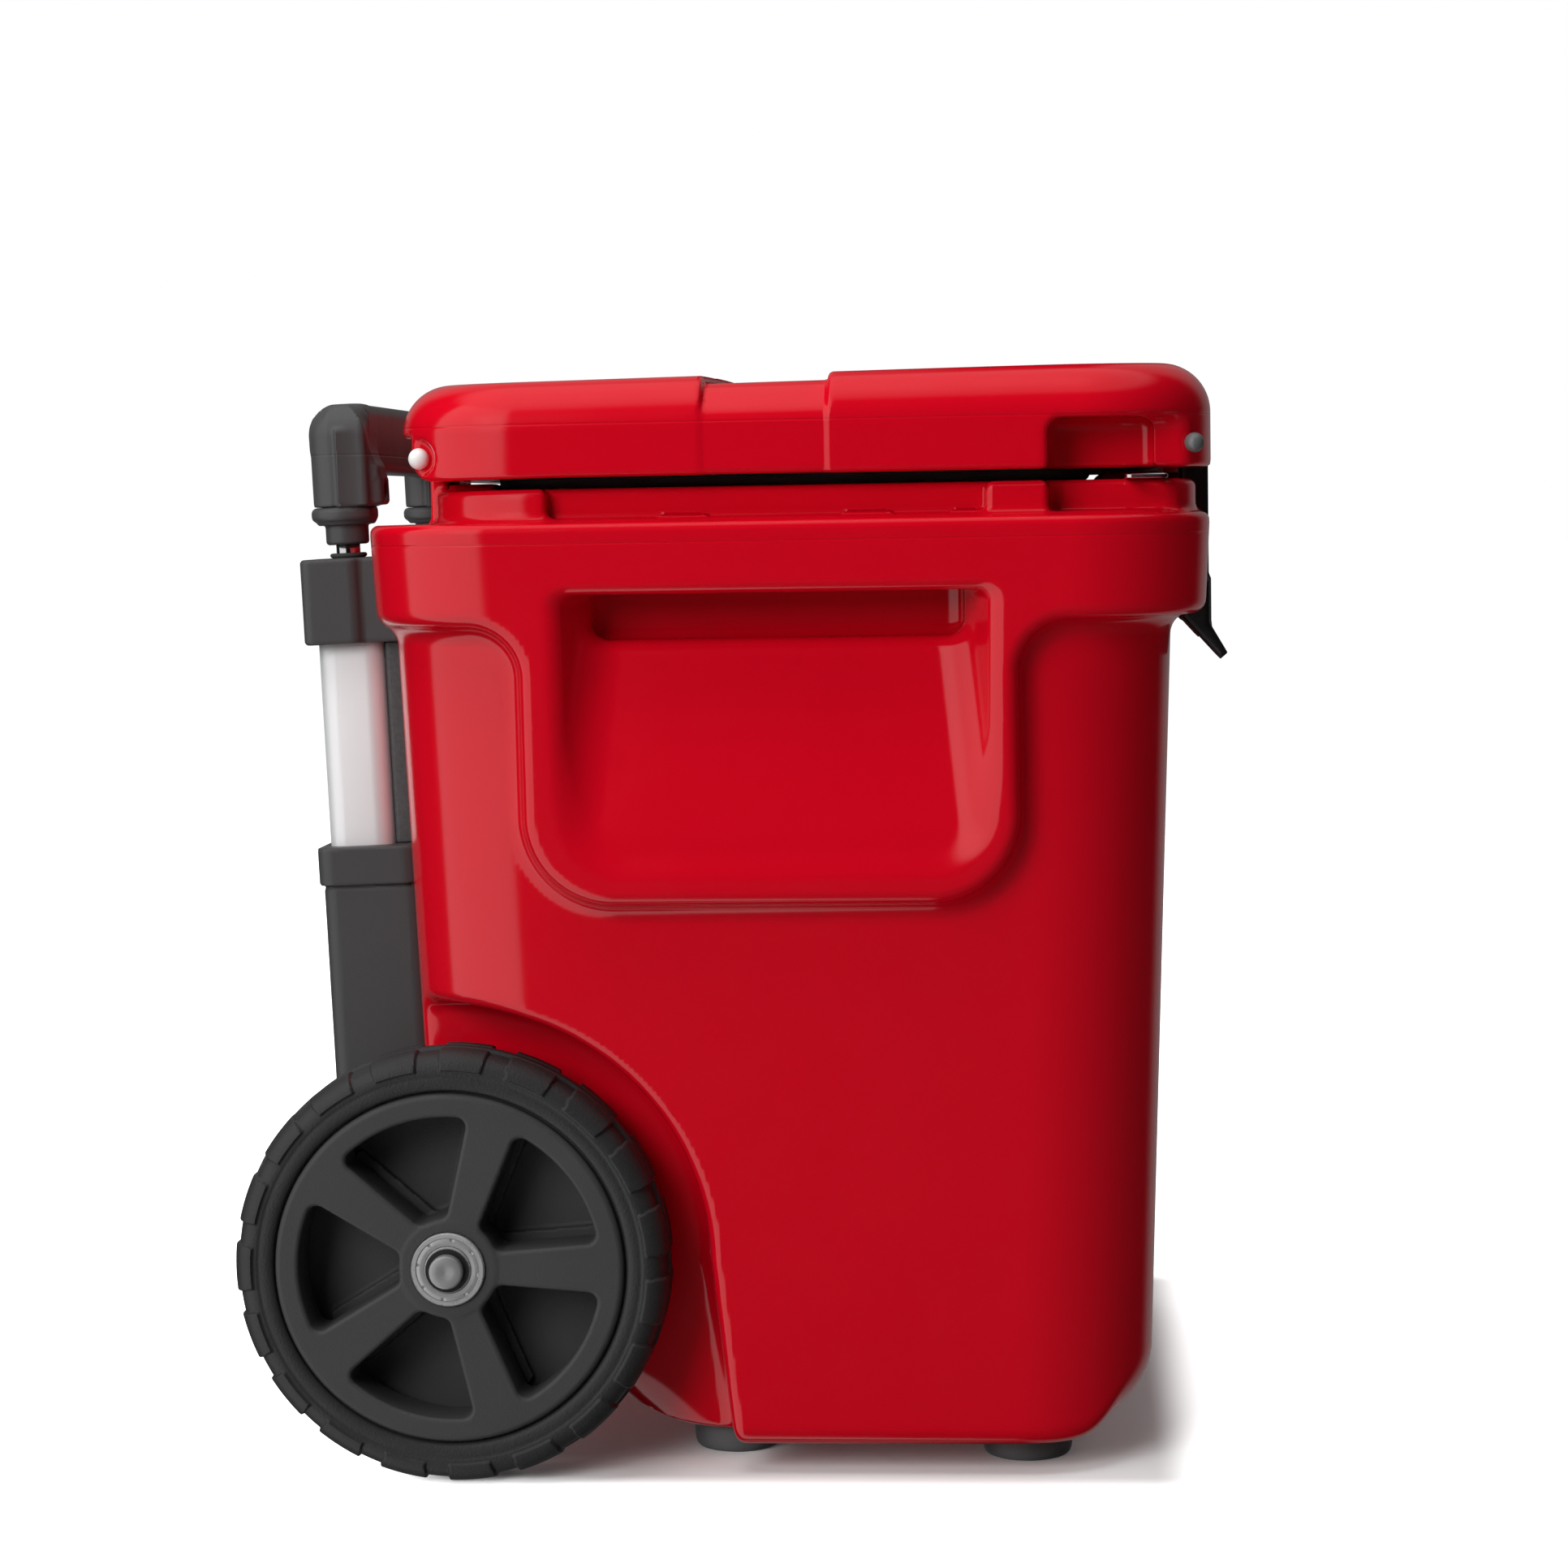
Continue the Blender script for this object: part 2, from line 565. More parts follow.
def cut_with(ob, parts):
    """Takes several closed parts away from ob, then sets exact normals from its field."""
    for k, part in enumerate(parts):
        tool = bpy.data.objects.new("cut_tool", mesh_of("cut_tool", *part))
        bpy.context.scene.collection.objects.link(tool)
        m = ob.modifiers.new("cut", "BOOLEAN")
        m.object, m.operation, m.solver = tool, "DIFFERENCE", "MANIFOLD"
        bpy.context.view_layer.update()
        done = bpy.data.meshes.new_from_object(ob.evaluated_get(bpy.context.evaluated_depsgraph_get()))
        ob.modifiers.clear()
        old, ob.data = ob.data, done
        bpy.data.meshes.remove(old)
        bpy.data.objects.remove(tool)


def field_normals(me, f):
    """Loop normals from the field where a vertex lies on its surface, flat ones on the cut faces."""
    co = np.zeros(len(me.vertices) * 3)
    me.vertices.foreach_get("co", co)
    co = co.reshape(-1, 3) * 1000
    x, y, z = co.T
    d = f(x, y, z)
    g = np.stack([f(x + 0.02, y, z) - d, f(x, y + 0.02, z) - d, f(x, y, z + 0.02) - d], 1) / 0.02
    g /= np.maximum(np.linalg.norm(g, axis=1), 1e-9)[:, None]
    n = len(me.polygons)
    flat = np.zeros(n * 3)
    me.polygons.foreach_get("normal", flat)
    flat = flat.reshape(-1, 3)
    starts, sizes = np.zeros(n, np.int32), np.zeros(n, np.int32)
    me.polygons.foreach_get("loop_start", starts)
    me.polygons.foreach_get("loop_total", sizes)
    owner = np.repeat(np.arange(n), sizes)
    vert = np.zeros(len(me.loops), np.int32)
    me.loops.foreach_get("vertex_index", vert)
    on = (np.abs(d[vert]) < 0.08) & ((g[vert] * flat[owner]).sum(1) > 0.5)
    normals = np.where(on[:, None], g[vert], flat[owner])
    me.polygons.foreach_set("use_smooth", np.ones(n, bool))
    me.normals_split_custom_set(normals.astype(np.float32).tolist())
    me.update()


# Opening of the liner, its wall, and the levels of the shelf over the wheels and of the inner floor
OPEN = dict(w=330.0, y0=-150.0, y1=95.0, r=30.0)
OPEN_MID = (OPEN["y0"] + OPEN["y1"]) / 2
WALL, SHELF, INNER_FLOOR = 6.3, 236, 52

skin = surface(tub_field, (-226, -216, 6), (226, 163, 458), 2.0, half=True)
tub = piece("tub_body", mesh_of("tub_body", *skin), red_tub, "chest", ("tub_shell", "tub_foam"))
cut_with(tub, [
    prism(OPEN["w"] + 2 * WALL, OPEN["y0"] - WALL, OPEN["y1"] + WALL, OPEN["r"] + WALL,
          SHELF - WALL, 440),
    prism(OPEN["w"] + 2 * WALL - 0.4, OPEN["y0"] - WALL + 0.2, -24 + WALL, 20 + WALL,
          INNER_FLOOR - WALL, 240),
    prism(252 + 2 * WALL, -110, 77 + WALL, 20 + WALL, INNER_FLOOR - WALL - 0.1, 241),
    prism(OPEN["w"] + 16.4, OPEN["y0"] - 8.2, OPEN["y1"] + 8.2, OPEN["r"] + 8.2, 424, 441),
])
field_normals(tub.data, tub_field)

# ------------------------------------------------------------------ liner and feet


def cavity(x, y, z, o):
    """Inside of the liner, grown by o."""
    top = r_inter(box2(x, y - OPEN_MID, 165 + o, 122.5 + o, 30 + o), SHELF - o - z, 14)
    front = r_inter(box2(x, y + 87, 165 + o, 63 + o, 20 + o), INNER_FLOOR - o - z, 14)
    rear = r_inter(box2(x, y + 16.5, 126 + o, 93.5 + o, 20 + o), INNER_FLOOR - o - z, 14)
    return r_union(r_union(front, rear, 12), top, 12)


def liner_field(x, y, z):
    wall = cavity(x, y, z, WALL - 0.3)
    lip = np.maximum(box2(x, y - OPEN_MID, 173, 130.5, 38), 424.2 - z)
    d = np.minimum(wall, lip)
    d = r_inter(d, z - RIM_Z + 0.1, 1.5)
    return r_cut(d, cavity(x, y, z, 0), 2.5)


skin = surface(liner_field, (-180, -164, 42), (180, 108, 434), 3.0, half=True)
piece("tub_inner_liner", mesh_of("tub_inner_liner", *skin), liner_white, "chest", ("tub_liner",))

foot_profile = [(0, 0.6), (5, 0.6), (5.6, 0), (9, 0), (9.6, 0.8), (11, 0.8), (11.6, 0), (17.2, 0),
                (18.4, 0.4), (19.1, 1.2), (19.6, 2.6), (20, 5), (20, 11.6), (19.6, 12.2), (18.8, 12.4),
                (0, 12.4)]
for name, node in (("feet_front", "front_feet"), ("feet_rear", "rear_feet")):
    lo, hi = node_box(node)
    x, y = lo[0] + 20, (lo[1] + hi[1]) / 2
    foot = turn(lathe(foot_profile, 72), Matrix.Translation((x, y, 0)))
    piece(name, mesh_of(name, *both(foot), sharp=30), foot_rubber, "chest", (node,))

# Padlock plates
lo, hi = node_box("lock_plates")
px, py = lo[0] + 14, (lo[1] + hi[1]) / 2
rings = []
for grow, h in ((-0.4, 0.0), (0, 0.4), (0, 1.6), (-0.4, 2.0)):
    rings.append(np.array(rounded_ring(28, 18, 3, h, 10, grow)) + (px, py, lo[2]))
for r, h in ((4.9, 2.0), (4.5, 1.6), (4.5, 0.4), (4.9, 0.0)):
    rings.append(np.array([(px - 7 + r * math.cos(math.radians(a)), py + r * math.sin(math.radians(a)),
                            lo[2] + h) for a in [i * 360 / 44 + 12 for i in range(44)]]))
p, f = loft(rings + rings[:1], caps=False)
piece("padlock_plates", mesh_of("padlock_plates", *both((p, f)), sharp=35), plate_steel, "chest",
      ("lock_plates",))

# Hinge pins and latch pins
for name, node, mat, slot, body, r, head, x0, x1, place in (
        ("hinge_pin", "hinge_pin", pin_white, "white_pin", "chest", 2.5, 4.6, 100, 188.1, HINGE),
        ("latch_pin", "latch_pin", grey_pin, "grey_pin", "lid", 3.0, 4.2, 104.1, 190.1, LATCH)):
    profile = [(0, x0), (r - 0.5, x0), (r, x0 + 0.5), (r, x1 - 0.6), (head - 0.3, x1 - 0.6), (head, x1)]
    profile += arc(0, x1, head, 0, 90, 14)[1:-1] + [(0, x1 + head)]
    for side, s in SIDES:
        p, f = turn(lathe(profile, 64), along_x(0, place[1], place[2], s))
        piece(f"{name}_{side}_shaped", mesh_of(name, p, f, sharp=40), mat, body, (f"{node}_{side}",))

# ------------------------------------------------------------------ lid

LID_MID, LID_HALF = -34.1, 175.6


def lid_outer(x, y, z):
    """Lid without its details: rounded plan, crowned top that falls to the back and the sides."""
    ax = np.abs(x)
    plan = box2(ax, y - LID_MID, 212, LID_HALF, 56)
    fall = 3.2 * (np.maximum(y + 150, 0) / 261) ** 1.2 + 2.3 * (ax / 191) ** 2
    d = r_inter(plan, z - 481 + fall, 21)
    return r_inter(d, lid_under(y) - z, 3)


def lid_field(x, y, z):
    ax = np.abs(x)
    skin = lid_outer(x, y, z)
    rear = r_inter(y - 134.5, lid_under(y) - z, 13)
    d = r_cut(skin, np.maximum(-rear, z - 453), 2.5)
    depth = 3.5 * step((z - 456) / 14)
    groove = r_inter(np.abs(y + 21) - 26.5, -(skin + depth), 1.5)
    d = r_cut(d, groove, 2)
    slot = r_inter(r_inter(np.abs(ax + LATCH[0]) - 17, y + 191.5, 4), z - 454.8, 4)
    d = r_cut(d, slot, 3)
    notch = r_inter(r_inter(190 - ax, y + 140, 6), z - 456, 6)
    deep = r_inter(r_inter(183 - ax, np.abs(y + 162.25) - 22.25, 5), z - 456, 6)
    d = r_cut(d, np.minimum(notch, deep), 3)
    pocket = r_inter(r_inter(np.abs(ax - 142) - 17.5, 121.3 - y, 2), z - 452.8, 3)
    d = r_cut(d, pocket, 2.5)
    head = r_inter(np.hypot(y - HINGE[1], z - HINGE[2]) - 8, 188 - ax, 2)
    return r_cut(d, head, 2)


skin = surface(lid_field, (-216, -214, 428), (216, 146, 486), 1.8, half=True)
lid = piece("lid_body", mesh_of("lid_body", *skin), red_lid, "lid", ("lid_shell", "lid_foam"))
cut_with(lid, [prism(360.2, -165.1, 108.1, 45.1, 420, 438.7)])
field_normals(lid.data, lid_field)


def pan_field(x, y, z):
    pan = r_inter(box2(x, y + 28.5, 179.9, 136.4, 45), np.abs(z - 437.8) - 0.8, 0.5)
    seat = r_inter(box2(x, y - OPEN_MID, 173, 130.5, 36), np.abs(z - 436.5) - 2.0, 0.6)
    pan = np.minimum(pan, seat)
    plug = r_inter(box2(x, y - OPEN_MID, 161, 118.5, 26), np.abs(z - 430) - 6, 4)
    d = r_union(pan, plug, 3)
    bowl = r_inter(box2(x, y - OPEN_MID, 152, 109.5, 19), z - 428.6, 3)
    rib = r_inter(np.abs(np.abs(x) - 55) - 3, np.abs(z - 428) - 2.2, 1.5)
    return r_union(r_cut(d, bowl, 2.5), np.maximum(rib, np.abs(y - OPEN_MID) - 108), 2)


skin = surface(pan_field, (-184, -169, 419), (184, 112, 443), 2.2, half=True)
piece("lid_inner_pan", mesh_of("lid_inner_pan", *skin), liner_white, "lid", ("lid_liner",))

section = [(-3.9, 434.4), (-3.9, 432.6), (-3.2, 431.2), (-2.0, 430.5), (-0.8, 430.9), (0, 431.6),
           (0.8, 430.9), (2.0, 430.5), (3.2, 431.2), (3.9, 432.6), (3.9, 434.4)]
rings = [np.array(rounded_ring(338, 253, 34, z, 14, o)) + (0, OPEN_MID, 0) for o, z in section]
p, f = loft(rings + rings[:1], caps=False)
piece("lid_seal", mesh_of("lid_seal", p, f, sharp=40), gasket_rubber, "lid", ("lid_gasket",))

# ------------------------------------------------------------------ latches


def polygon_field(u, v, corners):
    """Exact signed distance to a polygon in a plane."""
    best = np.full(np.shape(u), 1e9)
    inside = np.zeros(np.shape(u), bool)
    for (x0, y0), (x1, y1) in zip(corners, corners[1:] + corners[:1]):
        ex, ey = x1 - x0, y1 - y0
        t = np.clip(((u - x0) * ex + (v - y0) * ey) / (ex * ex + ey * ey), 0, 1)
        best = np.minimum(best, np.hypot(u - x0 - t * ex, v - y0 - t * ey))
        crosses = (y0 > v) != (y1 > v)
        inside ^= crosses & (u < ex * (v - y0) / (ey if abs(ey) > 1e-9 else 1e-9) + x0)
    return np.where(inside, -best, best)


def latch_field(x, y, z):
    dx = np.abs(x - LATCH[0])
    strap = polygon_field(y, z, [(-197, 444.8), (-197, 369.5), (-209.2, 367.4), (-209.2, 436),
                                 (-207.5, 444.8)])
    strap = r_inter(strap, dx - 16, 2.2)
    barrel = r_inter(np.hypot(y - LATCH[1], z - LATCH[2]) - 7, dx - 16, 1.5)
    pull = polygon_field(y, z, [(-197, 386), (-197, 369.5), (-213.6, 351.1), (-217, 354), (-209.2, 367.4),
                                (-209.2, 386)])
    pull = r_inter(pull + 0.4, dx - 23, 2.2) - 0.3
    d = r_union(r_union(strap, barrel, 2), pull, 3.5)
    panel = r_inter(box2(dx, z - 408, 11, 17, 4), y + 208.3, 0.6)
    ribs = np.maximum(np.abs(((z - 391) % 5.6) - 2.8) - 1.1, np.abs(z - 408) - 14)
    d = r_cut(d, panel, 0.8)
    d = r_union(d, r_inter(r_inter(ribs, dx - 9.5, 0.6), np.abs(y + 207.2) - 1.7, 0.6), 0.5)
    return r_cut(d, np.hypot(y - LATCH[1], z - LATCH[2]) - 3.06, 0.5)


latch = surface(latch_field, (LATCH[0] - 26, -220, 346), (LATCH[0] + 26, -192, 455), 0.9)
pair_of("latch", latch, latch_rubber, "latch_{}_body")

# ------------------------------------------------------------------ wheels

W_IN, W_OUT = -node_box("tyre_left")[1][0], -node_box("tyre_left")[0][0]
W_MID = (W_IN + W_OUT) / 2


def rim_field(x, y, z):
    a = -x
    dy, dz = y - AXLE[1], z - AXLE[2]
    r = np.hypot(dy, dz)
    fold = (np.degrees(np.arctan2(dz, -dy)) + 36) % 72 - 36
    t = np.abs(r * np.sin(np.radians(fold)))
    half = 7.3 + (r - 22) * 0.085
    window = r_inter(r_inter(r - 66, (half - t) * 0.99, 5), 21.5 - r, 3.5)
    face = r_inter(np.abs(a - 196) - 11.6, r - 76.3, 2.6)
    disc = r_inter(-window, face, 1.9)
    band = box2(r - 75.4, a - W_MID, 3.55, 13, 1.5)
    hub = box2(r, a - 190, 21.5, 17.5, 1.5)
    d = r_union(r_union(disc, hub, 1.5), band, 1)
    pad = np.maximum(r_inter(t - half - 3, r - 64, 3), 20 - r)
    back = np.maximum(np.abs(a - 176.5) - 1.5, r - 74)
    back = r_union(back, np.maximum(pad, np.abs(a - 178.5) - 2.5), 1.5)
    d = r_union(d, back, 2)
    return r_cut(d, r - 16.05, 0.6)


rim = surface(rim_field, (-W_OUT - 3, AXLE[1] - 82, AXLE[2] - 82),
              (-W_IN + 3, AXLE[1] + 82, AXLE[2] + 82), 1.15)
pair_of("wheel_rim", rim, wheel_plastic, "wheel_{}_body")


def tyre_mesh(lugs=19, per=60):
    """Tyre with a smooth side wall, raised shoulder blocks that wrap onto the tread, and a centre rib."""
    half = [(79.1, 13.2), (77.4, 13.5), (77.2, 14.6), (77.5, 15.7), (78.5, 16.5), (80.0, 16.85),
            (81.6, 16.9), (83.0, 16.75), (83.9, 16.55)]
    half += arc(85.4, 8.9, 8.0, 97, 4, 30)
    half += [(93.4, 8.9 - k) for k in np.linspace(0.6, 8.9, 14)]
    prof = np.array(half + [(r, -a) for r, a in half[-2::-1]])
    tangent = np.gradient(prof, axis=0)
    out = np.stack([-tangent[:, 1], tangent[:, 0]], 1)
    out /= np.linalg.norm(out, axis=1)[:, None]
    out *= np.sign((out * (prof - (80, 0))).sum(1))[:, None]
    n = lugs * per
    ang = np.arange(n) * 2 * np.pi / n
    pitch = 2 * np.pi / lugs
    local = (ang + pitch / 2) % pitch - pitch / 2
    r, a = prof[:, 0], prof[:, 1]
    shoulder = step((r - 86.0) / 0.6) * step((np.abs(a) - 4.4) / 0.7)
    width = 0.112 - 0.0012 * np.clip((93 - r), 0, 9)
    lug = step((width[:, None] - np.abs(local)[None]) / 0.0075 + 0.5)
    raised = 1.5 * shoulder[:, None] * lug
    raised += 1.5 * (step((3.4 - np.abs(a)) / 0.7))[:, None]
    rr = r[:, None] + out[:, :1] * raised
    aa = a[:, None] + out[:, 1:] * raised
    pts = np.stack([-(W_MID + aa), AXLE[1] + rr * np.cos(ang)[None], AXLE[2] + rr * np.sin(ang)[None]], -1)
    m = len(prof)
    i, j = np.meshgrid(np.arange(m), np.arange(n), indexing="ij")
    i2, j2 = (i + 1) % m, (j + 1) % n
    quads = np.stack([i * n + j, i2 * n + j, i2 * n + j2, i * n + j2], -1).reshape(-1, 4)
    return pts.reshape(-1, 3), quads


pts, quads = tyre_mesh()
for side, p, f in (("left", pts, quads), ("right", pts * (-1, 1, 1), quads[:, ::-1])):
    piece(f"tyre_{side}_shaped", mesh_of(f"tyre_{side}", p, f, sharp=60), tyre_rubber, f"wheel_{side}_body",
          (f"tyre_{side}",))

B_OUT, B_IN = -node_box("bearings_left")[0][0], -node_box("bearings_left")[1][0]
races = [(16, B_OUT - 9), (16, B_OUT - 0.6), (15.5, B_OUT), (14.1, B_OUT), (13.7, B_OUT - 0.4),
         (13.7, B_OUT - 9)]
inner = [(10.1, B_OUT - 9), (10.1, B_OUT - 0.35), (9.8, B_OUT), (7.1, B_OUT), (6.35, B_OUT - 0.5),
         (6.35, B_OUT - 9)]
in_races = [(r, B_IN + B_OUT - h) for r, h in races]
in_inner = [(r, B_IN + B_OUT - h) for r, h in inner]


def shield(z0, s=1.0):
    """Pressed shield of a bearing, with small dents near its rim."""
    rows = [(10.2, -0.9), (10.4, -0.5), (11.8, -0.3), (12.5, -0.3), (12.7, -0.35), (13.3, -0.35),
            (13.65, -0.5)]
    pts = []
    for r, h in rows:
        for k in range(192):
            dent = 0.45 if 12.6 < r < 13.4 and (k + 6) % 24 in (0, 1, 2) else 0.0
            a = 2 * math.pi * k / 192
            pts.append((r * math.cos(a), r * math.sin(a), z0 + s * (h - dent)))
    quads = [(i * 192 + k, i * 192 + (k + 1) % 192, (i + 1) * 192 + (k + 1) % 192, (i + 1) * 192 + k)
             for i in range(len(rows) - 1) for k in range(192)]
    return np.array(pts), quads


for side, s in SIDES:
    place = along_x(0, AXLE[1], AXLE[2], s)
    rings = join([lathe(rows, 128, True) for rows in (races, inner, in_races[::-1], in_inner[::-1])])
    piece(f"bearing_races_{side}", mesh_of("races", *turn(rings, place), sharp=35), bearing_steel,
          f"wheel_{side}_body", (f"bearings_{side}",))
    shields = join([shield(B_OUT), shield(B_IN, -1.0)])
    piece(f"bearing_shields_{side}", mesh_of("shields", *turn(shields, place), sharp=50), shield_steel,
          f"wheel_{side}_body", ())

A_END, A_R = node_box("axle")[1][0], 7.3
end = [(0, A_END - 0.3), (0.7, A_END - 0.22), (3.0, A_END - 0.05), (3.4, A_END), (A_R - 1.0, A_END),
       (A_R - 0.45, A_END - 0.2), (A_R - 0.1, A_END - 0.6), (A_R, A_END - 1.1), (A_R, B_OUT + 1.6),
       (5.4, B_OUT + 1.6), (5.4, B_OUT + 0.4), (6.2, B_OUT + 0.4)]
profile = end + [(r, -h) for r, h in reversed(end)]
piece("axle_turned", mesh_of("axle_turned", *turn(lathe(profile, 96), along_x(0, AXLE[1], AXLE[2])),
                             sharp=30),
      axle_steel, "chest", ("axle",))

# ------------------------------------------------------------------ handle: fixed parts


def post_frame(x, y, z):
    """Row coordinates to a post's own frame, x measured outwards from the post on either side."""
    v = y - POST_Y
    c, s = math.cos(DRAFT), math.sin(DRAFT)
    return np.abs(x) - POST_X, v * c - z * s, v * s + z * c


def screw_head(depth=2.4, r=4.0, socket=1.65):
    """Pan head with a six-sided socket; top at 0, shank towards -Z."""
    def hexagon(h, apothem, k=48):
        ring = []
        for i in range(k):
            a = 2 * math.pi * i / k
            b = (a + math.pi / 6) % (math.pi / 3) - math.pi / 6
            ring.append((apothem / math.cos(b) * math.cos(a), apothem / math.cos(b) * math.sin(a), h))
        return ring

    def circle(h, rad, k=48):
        return [(rad * math.cos(2 * math.pi * i / k), rad * math.sin(2 * math.pi * i / k), h)
                for i in range(k)]
    rings = [circle(-16, 1.4), circle(-15.4, 2), circle(-depth, 2), circle(-depth, r - 0.2),
             circle(-depth + 0.3, r), circle(-0.9, r), circle(-0.35, r - 0.45), circle(0, r - 1.3),
             hexagon(0, socket + 0.25), hexagon(-0.25, socket), hexagon(-1.5, socket),
             hexagon(-1.7, socket * 0.3)]
    return loft(rings)


def on_posts(*parts):
    """Parts given in a post's own frame, as pieces on the left post and then on the right one."""
    for side, s in SIDES:
        for name, part, material, body, slot in parts:
            piece(f"{name}_{side}_shaped", mesh_of(name, *turn(part, at_post(0, s)), sharp=40), material,
                  body, (f"{name}_{side}",))


# Turns a screw head to the back, and the way from a post's axis to the tub's back wall
FACE_BACK = Matrix.Rotation(math.radians(-90), 4, "X")
BACK_GAP = 27.784

tube = loft([rounded_ring(24, 30.7, 9, z, 14, g)
             for z, g in ((80, -0.5), (80.6, 0), (391.4, 0), (392, -0.5), (392, -1.6), (388, -1.6))])
on_posts(("post_tube", tube, tube_metal, "chest", "tube_aluminium"))

lo_y, hi_y = -BACK_GAP + 0.05, -15.4
rings = []
for z, g in ((271.6, -0.6), (272.2, 0), (362.3, 0), (362.9, -0.6)):
    rings.append(np.array(rounded_ring(18, hi_y - lo_y, 2.2, z, 6, g)) + (0, (lo_y + hi_y) / 2, 0))
rail = loft(rings)
on_posts(("post_rail", rail, post_plastic, "chest", "black_plastic"))


def bracket_field(x, y, z):
    px, py, pz = post_frame(x, y, z)
    outer = box2(px, py - 5.8, 20, 13.5, 5)
    neck = box2(px, py + 15, 16.5, 12.7, 3)
    d = r_union(outer, neck, 1.5)
    d = r_inter(d, np.abs(pz - 382.25) - 19.25, 1.8)
    d = r_cut(d, np.maximum(y - 156.75, 371.4 - z), 1.5)
    d = r_cut(d, np.hypot(px, py) - 7.5, 0.8)
    d = r_cut(d, np.maximum(box2(px, py, 12.1, 15.45, 9), pz - 392.1), 0.4)
    screw = np.hypot(np.abs(px) - 10.2, pz - 381.5) - 4.3
    d = r_cut(d, r_inter(screw, 16.6 - py, 0.5), 0.7)
    return d


bracket = surface(bracket_field, (-POST_X - 23, 144, 359), (-POST_X + 23, 199, 405), 1.0)
pair_of("upper_bracket", bracket, post_plastic, "chest")
heads = [turn(screw_head(), at_post(381.5, -1, 18.6, sx) @ FACE_BACK) for sx in (-10.2, 10.2)]
piece("bracket_screw_heads", mesh_of("bracket_screws", *both(join(heads)), sharp=35), black_steel, "chest",
      ("bracket_screws",))


def base_field(x, y, z):
    px, py, pz = post_frame(x, y, z)
    mid = (17.8 - BACK_GAP) / 2
    d = r_inter(box2(px, py - mid, 19, (17.8 + BACK_GAP) / 2, 7), np.abs(pz - 162) - 92, 2.5)
    mid = (19.7 - BACK_GAP) / 2
    lip = r_inter(box2(px, py - mid, 20.5, (19.7 + BACK_GAP) / 2, 8), np.abs(pz - 262.75) - 8.75, 1.2)
    d = r_union(d, lip, 0.8)
    web = r_inter(px + 2, np.abs(py + 20.7) - 7, 2)
    web = r_inter(web, np.abs(pz - 150) - 65, 4)
    panel = r_inter(box2(np.abs(x), pz - 150, 84, 52, 9), -15.7 - py, 1)
    web = r_cut(web, panel, 1.5)
    for zc in (124, 150, 176):
        web = r_union(web, np.maximum(r_inter(np.abs(pz - zc) - 1.6, np.abs(py + 18.5) - 4.2, 1),
                                      np.abs(x) - 80), 1.5)
    d = r_union(d, web, 5)
    d = r_cut(d, np.maximum(box2(px, py, 12.05, 15.4, 9), 80 - pz), 0.8)
    screw = r_inter(np.hypot(np.abs(x) - 70, np.abs(pz - 150) - 50) - 7, np.abs(py + 20.7) - 6.6, 1)
    d = r_union(d, screw, 1.5)
    return r_cut(d, r_inter(np.hypot(np.abs(x) - 70, np.abs(pz - 150) - 50) - 4.2, -16.1 - py, 0.4), 0.5)


skin = surface(base_field, (-POST_X - 23, 132, 66), (0, 198, 276), 1.6, half=True)
piece("handle_base_shaped", mesh_of("handle_base", *skin), post_plastic, "chest", ("handle_base",))
heads = [turn(screw_head(), Matrix.Translation((sx, POST_Y, 0)) @ Matrix.Rotation(-DRAFT, 4, "X")
              @ Matrix.Translation((0, -13.9, z)) @ FACE_BACK) for sx in (-70, 70) for z in (100, 200)]
piece("base_screw_heads", mesh_of("base_screws", *join(heads), sharp=35), black_steel, "chest",
      ("base_screws",))

# ------------------------------------------------------------------ handle: sliding parts

mid_tube = lathe([(6.2, 120), (7.2, 120), (7.4, 120.3), (7.4, 399.6), (7.2, 400), (6.2, 400)], 72, True)
rod = lathe([(0, 130), (5.0, 130), (5.4, 130.5), (5.4, 439.5), (5.0, 440), (0, 440)], 72)
cap = lathe([(5.5, 388), (6.1, 388), (6.1, 400.1), (7.4, 400.1), (7.4, 401.6), (8.0, 401.9), (8.3, 402.4),
             (8.3, 403.1), (7.9, 403.6), (7.0, 403.75), (6.0, 403.5), (5.5, 402.9)], 72, True)
on_posts(("mid_tube", mid_tube, tube_metal, "handle_mid", "tube_aluminium"),
         ("inner_rod", rod, rod_steel, "handle_grip", "rod_steel"))
piece("mid_cap_rings", mesh_of("mid_caps", *both(turn(cap, at_post())), sharp=35), post_plastic,
      "handle_mid", ("mid_caps",))


def socket_field(x, y, z):
    px, py, pz = post_frame(x, y, z)
    r = np.hypot(px, py)
    neck = r_inter(r - 9.7, np.abs(pz - 413.5) - 6, 1.6)
    collar = r_inter(r - 13.2, np.abs(pz - 418.6) - 2.2, 1.2)
    ring = r_inter(r - 15.6, np.abs(pz - 421.2) - 3.3, 2.6)
    ring = r_cut(ring, py + 13.4, 1)
    d = r_union(r_union(neck, collar, 1.0), ring, 1.2)
    return r_cut(d, r - 5.5, 0.6)


socket = surface(socket_field, (-POST_X - 20, 158, 404), (-POST_X + 20, 198, 428), 0.9)
pair_of("grip_socket", socket, grip_plastic, "handle_grip")


